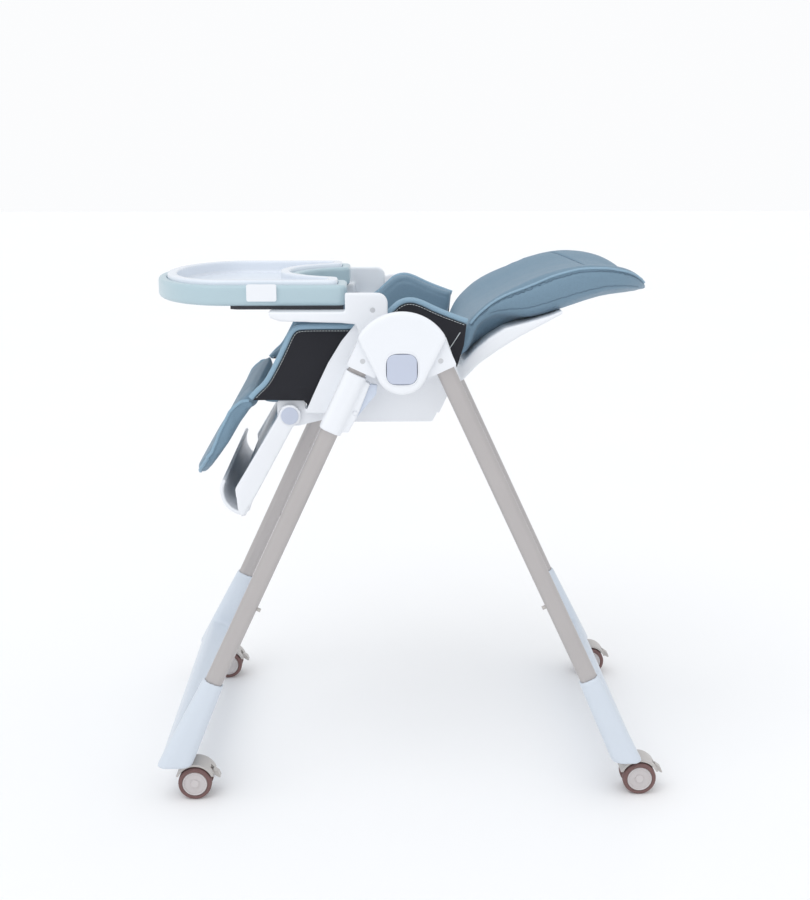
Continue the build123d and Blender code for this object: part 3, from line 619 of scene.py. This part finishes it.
def stitches(name, line):
    """A row of short threads along a line: one six-sided stitch, copied along it."""
    spots = evenly(line, STITCH_GAP)
    mesh = bmesh.new()
    for spot, ahead in zip(spots, spots[1:]):
        way = (ahead - spot).normalized()
        side = way.orthogonal().normalized()
        other = way.cross(side)
        rows = []
        for share, size in ((0.0, 0.4), (0.2, 1.0), (0.8, 1.0), (1.0, 0.4)):
            centre = spot + way * STITCH_LENGTH * MM * share
            thick = STITCH_RADIUS * size * MM
            rows.append([mesh.verts.new(centre + (side * math.cos(a) + other * math.sin(a)) * thick)
                         for a in (2 * math.pi * k / 6 for k in range(6))])
        for low, high in zip(rows, rows[1:]):
            for k in range(6):
                mesh.faces.new((low[k], low[(k + 1) % 6], high[(k + 1) % 6], high[k]))
        mesh.faces.new(rows[0][::-1])
        mesh.faces.new(rows[-1])
    data = bpy.data.meshes.new(name)
    bmesh.ops.recalc_face_normals(mesh, faces=mesh.faces)
    mesh.to_mesh(data)
    mesh.free()
    piece = bpy.data.objects.new(name, data)
    bpy.context.collection.objects.link(piece)
    soften(piece, 60)
    print(name, "stitches:", len(spots) - 1)
    return piece


# %% [markdown]
# Every new piece needs a material, the moving body it rides on, and the frame pieces it
# stands for.  One call says them all.

# %% Belonging to a body
def belongs(piece, body, material, slot, *nodes):
    """Gives a piece its material, its body and the frame pieces it stands for."""
    piece.data.materials.clear()
    piece.data.materials.append(material)
    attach(piece, body)
    if nodes:
        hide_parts(*nodes)
    return piece


# %% [markdown]
# ## The backrest cushion
# From the side it is a long leaf: a crest runs up each side and down to the head, with the
# middle lying lower between them.  Three smooth lines describe it, the crest, the middle and
# the underside.  Cross-sections strung between them make the whole skin.

# %% Backrest lines
CREST = [(92, 10), (106, 46), (134, 76), (160, 94), (189, 108), (216, 120), (243, 129.5),
         (275, 137), (306, 139), (338, 136.5), (366, 129), (390, 115), (403, 99)]
MIDDLE = [(86, 5), (98, 28), (122, 48), (150, 63), (180, 78), (219, 96), (257, 110),
          (300, 118), (345, 116), (380, 108), (404, 94)]
UNDER = [(96, -8), (112, 8), (124, 44), (146, 59), (172, 61), (204, 60), (250, 72),
         (313, 92), (350, 96), (384, 95), (402, 91)]
BELLY_UNDER = [(96, -10), (112, 6), (128, 20), (148, 34), (172, 47), (204, 57), (250, 70),
               (313, 89), (350, 94), (384, 93), (402, 90)]
HALF_BACK = 171.0
HEAD_START, HEAD_ROUND = 297.0, 108.0
STATIONS = 34


def resample(points, count):
    """The smooth line through (y, z) points, at evenly shared stations."""
    line = flow([Vector((0, y, z)) for y, z in points], 8)
    lengths = [0.0]
    for a, b in zip(line, line[1:]):
        lengths.append(lengths[-1] + (b - a).length)
    result, j = [], 0
    for i in range(count):
        goal = lengths[-1] * i / (count - 1)
        while j < len(line) - 2 and lengths[j + 1] < goal:
            j += 1
        share = (goal - lengths[j]) / max(lengths[j + 1] - lengths[j], 1e-9)
        result.append(line[j].lerp(line[j + 1], min(share, 1.0)))
    return result


print("backrest stations:", STATIONS)

CREST_LINE = resample(CREST, STATIONS)
MIDDLE_LINE = resample(MIDDLE, STATIONS)
UNDER_LINE = resample(UNDER, STATIONS)
BELLY_LINE = resample(BELLY_UNDER, STATIONS)

# %% [markdown]
# Across, the cushion is a shallow tray: the middle is low, the bolsters swell up at the
# sides, and the side face tucks back under.  A cross-section is a list of weights, so the
# same list serves every station, and the head end only gets narrower.

# %% Backrest cross-sections
# Each step across: distance from the middle as a share of the half width, then how much of
# the crest, the middle and the side's lower edge it follows.  What is left follows the belly.
ACROSS = [
    (0.00, 0.00, 1.00, 0.00), (0.20, 0.02, 0.98, 0.00), (0.42, 0.14, 0.86, 0.00),
    (0.60, 0.42, 0.58, 0.00), (0.74, 0.76, 0.24, 0.00), (0.86, 0.97, 0.03, 0.00),
    (0.94, 0.98, 0.00, 0.02), (0.985, 0.86, 0.00, 0.14), (1.00, 0.62, 0.00, 0.38),
    (0.995, 0.34, 0.00, 0.66), (0.96, 0.10, 0.00, 0.90), (0.88, 0.00, 0.00, 1.00),
    (0.70, 0.00, 0.00, 0.00), (0.35, 0.00, 0.00, 0.00), (0.00, 0.00, 0.00, 0.00),
]


def back_half_width(y):
    """The head end is round in plan."""
    if y < HEAD_START:
        return HALF_BACK
    reach = min((y - HEAD_START) / HEAD_ROUND, 0.995)
    return HALF_BACK - HEAD_ROUND * (1 - math.sqrt(1 - reach * reach))


def back_point(i, across, side=1):
    """A point of station i, between two steps of the cross-section."""
    k = min(int(across), len(ACROSS) - 2)
    share = across - k
    x, crest, middle, under = (a + (b - a) * share for a, b in zip(ACROSS[k], ACROSS[k + 1]))
    spot = CREST_LINE[i] * crest + MIDDLE_LINE[i] * middle + UNDER_LINE[i] * under
    spot += BELLY_LINE[i] * (1 - crest - middle - under)
    return at(side * x * back_half_width(spot.y), spot.y, spot.z)


rings = []
for i in range(STATIONS):
    right = [back_point(i, k) for k in range(len(ACROSS))]
    left = [back_point(i, k, -1) for k in range(len(ACROSS) - 2, 0, -1)]
    rings.append(right + left)
back_cushion = skin("backrest_cushion", rings)
swell(back_cushion, voxel=4.5, smooth=5)

# %% [markdown]
# Piping follows each crest, with a seam beside it, and a finer seam runs along the side
# face.  Each is a thin tube laid on the skin, over a groove pressed into the cushion; the two
# seam tubes are dark, as painted shade in their grooves.  The step numbers say where across
# the section each one lies.

# %% Seams of the backrest
PIPING_STEP, SEAM_STEP, TRIM_STEP = 6.45, 6.95, 9.35
for word, side in SIDES.items():
    crest_seam = flow([back_point(i, SEAM_STEP, side) for i in range(4, STATIONS - 1)], 3)
    trim_seam = flow([back_point(i, TRIM_STEP, side) for i in range(8, STATIONS - 2)], 3)
    crease(back_cushion, crest_seam, 1.9, 4.2)
    crease(back_cushion, trim_seam, 0.9, 3.2)
    piping = tube(f"backrest_piping_{word}", on_surface(back_cushion, [
        back_point(i, PIPING_STEP, side) for i in range(4, STATIONS - 1)], 0.7), 2.0)
    belongs(piping, "backrest", piping_leather, "blue_leather")
    # A dark tube in each groove is painted shade: one beside the piping, one along the side face.
    shadow = tube(f"backrest_seam_shade_{word}", on_surface(back_cushion, crest_seam, 0.15), 0.8, 6)
    belongs(shadow, "backrest", painted_seam_shade, "blue_leather")
    side_seam_shade = tube(f"backrest_side_seam_shade_{word}", on_surface(back_cushion, trim_seam, 0.1), 0.6, 6)
    belongs(side_seam_shade, "backrest", painted_seam_shade, "blue_leather")
print("backrest seams laid")

# %% [markdown]
# One more seam arches across the cushion and marks off the headrest.  A dark tube in its groove is
# painted shade.

# %% Headrest seam
head_seam = []
for k in range(-40, 41):
    x = abs(k) / 40
    y = 340 - 66 * x ** 1.6
    head_seam.append(at(k / 40 * 150, y, 132))
head_line = crease(back_cushion, head_seam, 1.8, 4.5)
# The dark tube in the headrest seam's groove is painted shade.
belongs(tube("headrest_seam_shade", on_surface(back_cushion, head_line, 0.1), 0.7, 6), "backrest",
        painted_seam_shade, "blue_leather")
belongs(back_cushion, "backrest", blue_leather, "blue_leather", "backrest_pad")
print("headrest seam points:", len(head_line))

# %% [markdown]
# ## Side wings
# Each side of the seat is a thick flat cushion with a wavy top edge, leather inside and over
# the edge, and a black cloth panel outside.  A light piping edges it, with a row of pale
# stitches where the cloth is sewn on.

# %% Wing outline
WING = [(104, 62), (92, 66), (61, 78), (30, 92), (12, 95), (-4, 90), (-19, 77), (-40, 59),
        (-62, 55), (-90, 54.5), (-130, 54.5), (-158, 53), (-171, 44), (-182, 22), (-195, -4),
        (-211, -32), (-225, -46), (-236, -58), (-190, -62), (-150, -63), (-138, -72),
        (-60, -73), (0, -73), (60, -73), (77, -40), (97, 20)]
EDGE_POINTS = 18
wing_outline = [(p.y, p.z) for p in flow([Vector((0, y, z)) for y, z in WING], 4, closed=True)]


def moved_in(line, depth):
    """An open (y, z) line moved sideways by depth, to the right of its direction."""
    moved = []
    for i, (y, z) in enumerate(line):
        (y0, z0), (y1, z1) = line[max(i - 1, 0)], line[min(i + 1, len(line) - 1)]
        way = Vector((y1 - y0, z1 - z0)).normalized()
        moved.append((y - way.y * depth, z + way.x * depth))
    return moved


edge_line = [(p.y, p.z) for p in flow([Vector((0, y, z)) for y, z in WING[:EDGE_POINTS]], 5)]
PANEL_FOOT = [(-205, -63), (-151, -64), (-141, -75), (61, -75), (78, -42), (98, 22)]
panel_outline = moved_in(edge_line, 8.0) + PANEL_FOOT


def outline_area(outline):
    pairs = zip(outline, outline[1:] + outline[:1])
    return abs(sum(a[0] * b[1] - b[0] * a[1] for a, b in pairs)) / 2


print("cloth panel area, mm2:", round(outline_area(panel_outline)))

# %% [markdown]
# A wing is a plate, swollen a little.  The cloth is a much thinner plate on its outer face:
# it is one flat cut, stretched between its seams, so its flat size is the outline's own size.

# %% Wings, cloth panels, piping and stitches
WING_INSIDE, WING_OUTSIDE = 182.5, 203.5
CLOTH_INSIDE, CLOTH_OUTSIDE = 206.0, 207.4
for word, side in SIDES.items():
    wing = plate(f"side_wing_{word}", wing_outline, side * WING_INSIDE, side * WING_OUTSIDE)
    swell(wing, voxel=4.5, smooth=5)
    inner_seam = [at(side * 181.5, y, z) for y, z in moved_in(edge_line, 12.0)[4:-4]]
    crease(wing, inner_seam, 1.2, 4.0)
    if side == LEFT:
        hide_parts("side_wings")
    belongs(wing, "seat", blue_leather, "blue_leather")
    welt = tube(f"wing_welt_{word}", [at(side * 204.3, y, z) for y, z in moved_in(edge_line, 3.4)],
                4.4, 12)
    belongs(welt, "seat", piping_leather, "blue_leather")
    panel = plate(f"side_cloth_{word}", panel_outline, side * CLOTH_INSIDE, side * CLOTH_OUTSIDE)
    apply(panel, "BEVEL", width=0.0005, segments=2)
    soften(panel)
    belongs(panel, "seat", black_cloth, "black_cloth", *(["side_panels"] if side == LEFT else []))
    ys, zs = [p[0] for p in panel_outline], [p[1] for p in panel_outline]
    size = ((max(ys) - min(ys)) * MM, (max(zs) - min(zs)) * MM)
    area = outline_area(panel_outline) * MM * MM
    sewn = moved_in(edge_line, 9.6)
    thread_row = stitches(f"wing_stitches_{word}", [at(side * 207.6, y, z) for y, z in sewn[2:-2]])
    belongs(thread_row, "seat", thread, "strap_webbing")
    hem = tube(f"cloth_seam_{word}", [at(side * 207.7, 92, 42), at(side * 207.7, 74, 14)], 0.55, 6)
    belongs(hem, "seat", thread, "strap_webbing")
    print("wing", word, "cloth, m:", [round(length, 3) for length in size])

# %% [markdown]
# ## Seat and calf cushions
# The seat is a crowned pad between the wings, sewn in channels across.  The calf flap hangs
# from its front edge: it is thinner, round at the tip, with piping all round its edge.

# %% Copies of frame pieces
def copy_of(node, name):
    """A copy of a frame piece's mesh, its loose triangles merged."""
    source = frame["nodes"][node]
    piece = bpy.data.objects.new(name, source.data.copy())
    piece.data.transform(source.matrix_world)
    bpy.context.collection.objects.link(piece)
    edit(piece)
    bpy.ops.mesh.remove_doubles(threshold=MERGE)
    done()
    piece.data.materials.clear()
    return piece


def shrink(piece, x, y, z):
    """Makes a piece smaller about its middle, by millimetres along each axis."""
    low = Vector([min(v.co[k] for v in piece.data.vertices) for k in range(3)])
    high = Vector([max(v.co[k] for v in piece.data.vertices) for k in range(3)])
    size, middle = high - low, (high + low) / 2
    for vertex in piece.data.vertices:
        for k, less in enumerate((x, y, z)):
            vertex.co[k] = middle[k] + (vertex.co[k] - middle[k]) * (1 - less * MM / size[k])


# %% [markdown]
# The seat's shape is right in the frame already, only hard and square.  So the cushion starts
# as a copy, is made a little smaller, and swells back to fill its place.

# %% Seat cushion
CHANNELS = (-150, -78, -4)
seat_cushion = copy_of("seat_pad", "seat_cushion")
shrink(seat_cushion, 5, 5, 4)
swell(seat_cushion, voxel=5.0, smooth=8)
for y in CHANNELS:
    crease(seat_cushion, [at(x, y, -46) for x in range(-150, 151, 3)], 2.2, 6.0)
belongs(seat_cushion, "seat", blue_leather, "blue_leather", "seat_pad")

# %% [markdown]
# The calf flap carries on the wings' line at each side, so its piping starts where theirs
# ends, runs down the front edge and turns in at the round tip.

# %% Calf cushion
calf_cushion = copy_of("calf_pad", "calf_cushion")
shrink(calf_cushion, 4, 3, 3)
swell(calf_cushion, voxel=3.5, smooth=5)
for x in (-95, 95):
    crease(calf_cushion, [at(x, -245 - 1.0 * k, -62 - 1.75 * k) for k in range(60)], 1.6, 6.0)
belongs(calf_cushion, "seat", blue_leather, "blue_leather", "calf_pad")
print("calf cushion sewn")
CALF_FRONT = [(-236, -57), (-247, -66), (-267, -84), (-285, -116), (-301, -148), (-320, -178)]
for word, side in SIDES.items():
    edge = [at(side * 201, y, z) for y, z in CALF_FRONT]
    edge += [at(side * 186, -325, -190), at(side * 150, -327, -197)]
    welt = tube(f"calf_welt_{word}", on_surface(calf_cushion, flow(edge, 6), 0.8), 2.6, 10)
    belongs(welt, "seat", piping_leather, "blue_leather")

# %% [markdown]
# ## Harness
# A lap harness lies on the seat: two waist straps and one between the legs, meeting at a
# round buckle.  Webbing is too thin to inflate, so each strap is a narrow band laid along a
# line on the cushion, with a little thickness.

# %% Webbing
STRAP_WIDTH, STRAP_THICK = 25, 1.6


def band(name, line, across, width):
    """A flat strap along a line of (point, up) pairs; across is its width direction."""
    rings = []
    half = across.normalized() * width / 2 * MM
    for point, up in line:
        lift = up * STRAP_THICK / 2 * MM
        edge = half * 0.96
        rings.append([point - half, point - edge + lift, point + edge + lift, point + half,
                      point + edge - lift, point - edge - lift])
    piece = skin(name, rings)
    soften(piece, 35)
    return piece


def laid_line(piece, points, lift):
    """Places on a cushion with the way up there."""
    tree = search_tree(piece)
    laid = []
    for point in points:
        hit, normal, _, _ = tree.ray_cast(point, Vector((0, 0, -1)))
        laid.append((hit + normal * lift * MM, normal))
    return laid


for word, side in SIDES.items():
    line = laid_line(seat_cushion, [at(side * (24 + 3.3 * k), -21.5, 20) for k in range(46)], 1.5)
    waist = band(f"waist_strap_{word}", line, Vector((0, 1, 0)), STRAP_WIDTH)
    belongs(waist, "seat", webbing, "strap_webbing", *(["lap_straps"] if side == LEFT else []))
line = laid_line(seat_cushion, [at(0, -120 + 4 * k, 20) for k in range(19)], 1.5)
crotch = band("crotch_strap", line, Vector((1, 0, 0)), STRAP_WIDTH)
belongs(crotch, "seat", webbing, "strap_webbing")
print("straps:", STRAP_WIDTH, "mm wide")

# %% [markdown]
# The buckle is a low round block with a raised button.  The rings on its top come from
# insetting the top face three times, then every edge is rounded.

# %% Buckle
lone()
bpy.ops.mesh.primitive_cylinder_add(
    vertices=64, radius=0.022, depth=0.010, location=at(0, -25, -41))
buckle = bpy.context.object
buckle.name = "harness_buckle"
settle(buckle)
edit(buckle)
bpy.ops.mesh.select_all(action="DESELECT")
done()
for face in buckle.data.polygons:
    face.select = face.normal.z > 0.9
bpy.ops.object.mode_set(mode="EDIT")
bpy.ops.mesh.inset(thickness=0.005)
bpy.ops.mesh.inset(thickness=0.0012, depth=-0.0012)
bpy.ops.mesh.inset(thickness=0.003, depth=0.0016)
done()
apply(buckle, "BEVEL", width=0.0009, segments=3, angle_limit=math.radians(30))
soften(buckle)
belongs(buckle, "seat", black_plastic, "black_plastic", "buckle")
print("buckle faces:", len(buckle.data.polygons))

# %% [markdown]
# ## Moulded parts with melted corners
# A moulded part has no sharp edge anywhere: each corner is rounded so that the plastic flows
# and leaves the mould.  Where several shapes meet, rounding them one by one is hard.  Instead
# the whole part is rebuilt as a net of tiny squares, and the net is relaxed.

# %% Rounded copies of the frame's parts
def remould(name, node, voxel, rounds, body, material, slot):
    """A copy of a frame piece with every corner melted round."""
    piece = copy_of(node, name)
    apply(piece, "REMESH", mode="VOXEL", voxel_size=voxel * MM)
    apply(piece, "SMOOTH", factor=0.5, iterations=rounds)
    lone(piece)
    bpy.ops.object.shade_smooth()
    print(name, "faces:", len(piece.data.polygons))
    return belongs(piece, body, material, slot, node)


for name, node, voxel, rounds, body, material in (
    ("front_foot_moulding", "front_foot_bar", 3.0, 9, "front_frame", foot_plastic),
    ("rear_foot_moulding", "rear_foot_bar", 3.0, 9, "rear_frame", foot_plastic),
    ("footrest_moulding", "footrest", 2.2, 6, "footrest", white_plastic),
    ("backrest_shell_moulding", "backrest_shell", 2.4, 8, "backrest", white_plastic),
    ("slider_mouldings", "sliders", 1.6, 5, "seat", white_plastic),
    ("tray_arm_mouldings", "tray_arms", 1.8, 6, "seat", white_plastic),
):
    remould(name, node, voxel, rounds, body, material, "white_plastic")

# %% [markdown]
# ## Hub domes
# The big white cover over each hub is a low pillow with a well rounded edge, and it needs a
# finer net than the other mouldings.

# %% Domes
domes = copy_of("hub_domes", "hub_dome_covers")
DOME_VOXEL, DOME_ROUNDS = 1.4, 14
apply(domes, "REMESH", mode="VOXEL", voxel_size=DOME_VOXEL * MM)
apply(domes, "SMOOTH", factor=0.5, iterations=DOME_ROUNDS)
lone(domes)
bpy.ops.object.shade_smooth()
belongs(domes, "front_frame", white_plastic, "white_plastic", "hub_domes")
print("dome faces:", len(domes.data.polygons))


# %% [markdown]
# A thin raised ring frames each fold button.  Its line is a rounded square, made by raising
# the cosine and the sine of a circle to a power below one.

# %% Button rings
RING_HALF, RING_FACE, SQUARENESS = 24.6, 301.6, 0.64


def squared(share):
    return RING_HALF * math.copysign(abs(share) ** SQUARENESS, share)


for word, side in SIDES.items():
    turns = [2 * math.pi * k / 64 for k in range(64)]
    loop = [at(side * RING_FACE, squared(math.cos(a)), squared(math.sin(a))) for a in turns]
    ring = tube(f"button_ring_{word}", loop, 1.1, 8, closed=True)
    belongs(ring, "front_frame", white_plastic, "white_plastic")
print("button rings:", len(SIDES))

# %% [markdown]
# ## Wheels
# Each castor has two wheels: a brown tyre round a pale disc, with a raised rim, a recessed
# web and a small hub cap over the axle.  One disc is modelled by spinning its profile, and
# copied for all eight.

# %% Wheel discs
def spun(name, profile_points, steps=48, ring=False):
    """A solid of revolution about the x axis from (x, radius) points; a ring has no middle."""
    if ring:
        profile_points = profile_points + profile_points[:1]
    rings = []
    for x, radius in profile_points:
        rings.append([Vector((x * MM, math.cos(a) * radius * MM, math.sin(a) * radius * MM))
                      for a in (2 * math.pi * k / steps for k in range(steps))])
    piece = skin(name, rings, closed=not ring)
    soften(piece, 30)
    return piece


DISC = [(7.5, 20.3), (20.6, 20.3), (22.2, 19.6), (22.4, 18.6), (21.6, 17.6), (20.2, 17.2),
        (19.6, 16.2), (19.7, 9.0), (20.4, 7.6), (21.6, 7.0), (22.3, 6.0), (22.4, 0.6)]
TYRE = [(8.0, 20.6), (8.0, 24.8), (9.2, 26.4), (11.5, 27.0), (18.5, 27.0), (20.8, 26.4),
        (22.0, 24.8), (22.0, 20.6)]
master_disc = spun("master_disc", DISC)
master_tyre = spun("master_tyre", TYRE, ring=True)
print("wheel faces:", len(master_disc.data.polygons), "and", len(master_tyre.data.polygons))

# %% [markdown]
# Each copy is moved inside its own mesh, so that the object stays at the origin and rides on
# the wheels' body.  The inner wheel is the mirror of the outer one, so its faces are turned
# over.

# %% Eight wheels and four axles
for end in ("front", "rear"):
    for word in SIDES:
        spot = Vector(JOINTS[f"roll_{end}_{word}"]["pos_m"])
        body = f"wheels_{end}_{word}"
        for face in (1, -1):
            for master, node, material, slot in (
                (master_disc, f"castor_wheels_{end}_{word}", disc_plastic, "castor_plastic"),
                (master_tyre, f"castor_tyres_{end}_{word}", tyre_rubber, "tyre_rubber"),
            ):
                made = bpy.data.objects.new(
                    f"{node}_{'outer' if face > 0 else 'inner'}", master.data.copy())
                bpy.context.collection.objects.link(made)
                for vertex in made.data.vertices:
                    vertex.co.x *= face
                    vertex.co += spot
                if face < 0:
                    made.data.flip_normals()
                belongs(made, body, material, slot, *([node] if face > 0 else []))
        axle = spun(f"axle_{end}_{word}", [(-8.5, 3.9), (8.5, 3.9)], 24)
        for vertex in axle.data.vertices:
            vertex.co += spot
        belongs(axle, body, screw_steel, "castor_plastic")
for master in (master_disc, master_tyre):
    bpy.data.objects.remove(master)

# %% [markdown]
# ## Tray
# The lower tray is a teal tub whose rim shows all round.  The white top drops into it: a
# wide smooth lip, a cove, and a shallow dish.  Both keep the frame's outline, so they are
# melted copies too, and the white one is relaxed for longer to turn its step into a cove.

# %% Tray tub and top
remould("tray_tub", "tray_base", 2.1, 4, "tray", teal_plastic, "teal_plastic")
remould("tray_top", "tray_insert", 2.1, 9, "tray_insert", insert_plastic, "white_plastic")


# %% Materials on the frame
for end in ("front", "rear"):
    paint_all([f"{end}_foot_bar"], foot_plastic)
    paint_all([f"{end}_hub_screws"], screw_steel)
    paint_all([f"{end}_stop_pegs"], castor_plastic)
    paint_all([f"{end}_tube_{side}" for side in SIDES], champagne)
    paint_all([f"{end}_hub_{side}" for side in SIDES], white_plastic)
    for side in SIDES:
        paint_all([f"castor_body_{end}_{side}", f"castor_brake_{end}_{side}"], castor_plastic)
        paint_all([f"castor_wheels_{end}_{side}"], disc_plastic)
        paint_all([f"castor_tyres_{end}_{side}"], tyre_rubber)
paint_all([f"fold_button_{side}" for side in SIDES] + ["footrest_caps"], button_plastic)
paint_all([f"release_trigger_{side}" for side in SIDES] + ["recline_lever"], trigger_plastic)
paint_all([f"tray_clip_{side}" for side in SIDES], white_plastic)
paint_all(["hub_domes", "sliders", "trigger_pins", "seat_shell", "base_cover", "tray_arms",
           "footrest_brackets", "footrest", "backrest_shell", "strap_knobs"], white_plastic)
paint_all(["arm_screws"], screw_steel)
paint_all(["tray_base"], teal_plastic)
paint_all(["tray_insert"], insert_plastic)
paint_all(["tray_rails", "buckle"], black_plastic)
paint_all(["seat_pad", "side_wings", "calf_pad", "backrest_pad"], blue_leather)
paint_all(["side_panels"], black_cloth)
paint_all(["lap_straps"], webbing)
